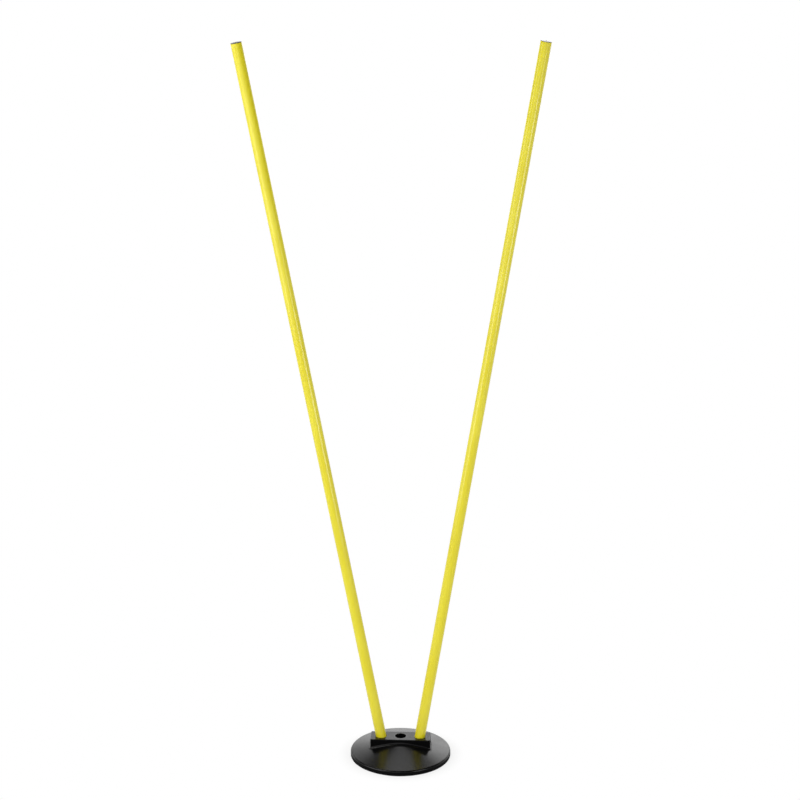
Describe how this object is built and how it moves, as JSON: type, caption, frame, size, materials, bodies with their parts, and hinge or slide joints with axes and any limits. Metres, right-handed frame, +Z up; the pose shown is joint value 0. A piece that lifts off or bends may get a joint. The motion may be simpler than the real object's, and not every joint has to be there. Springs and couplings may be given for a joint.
{
  "type": "slalom pole",
  "caption": "Slalom gate for agility training: upright round poles stand as a V in a weighted conical rubber base with a block of sockets, and lift out.",
  "frame": {"origin": "centre of the base's flat underside, on the ground", "axes": "+Z up along the middle socket, +X along the row of sockets, -Y the front"},
  "size_m": [0.6926, 0.236, 1.6866],
  "materials": {
    "base_rubber": "smooth moulded, satin",
    "pole_plastic": "satin",
    "plug_plastic": "satin"
  },
  "bodies": {
    "base": {"base_moulding": "base_rubber"},
    "left_pole": {"left_pole_tube": "pole_plastic", "left_top_plug": "plug_plastic", "left_foot_plug": "plug_plastic"},
    "right_pole": {"right_pole_tube": "pole_plastic", "right_top_plug": "plug_plastic", "right_foot_plug": "plug_plastic"}
  },
  "joints": [
    {"name": "left_pole_lift", "type": "slide", "parent": "base", "child": "left_pole", "axis": [-0.1865, 0, 0.9825], "range_m": [0, 0.1]},
    {"name": "right_pole_lift", "type": "slide", "parent": "base", "child": "right_pole", "axis": [0.1607, 0, 0.987], "range_m": [0, 0.1]}
  ]
}
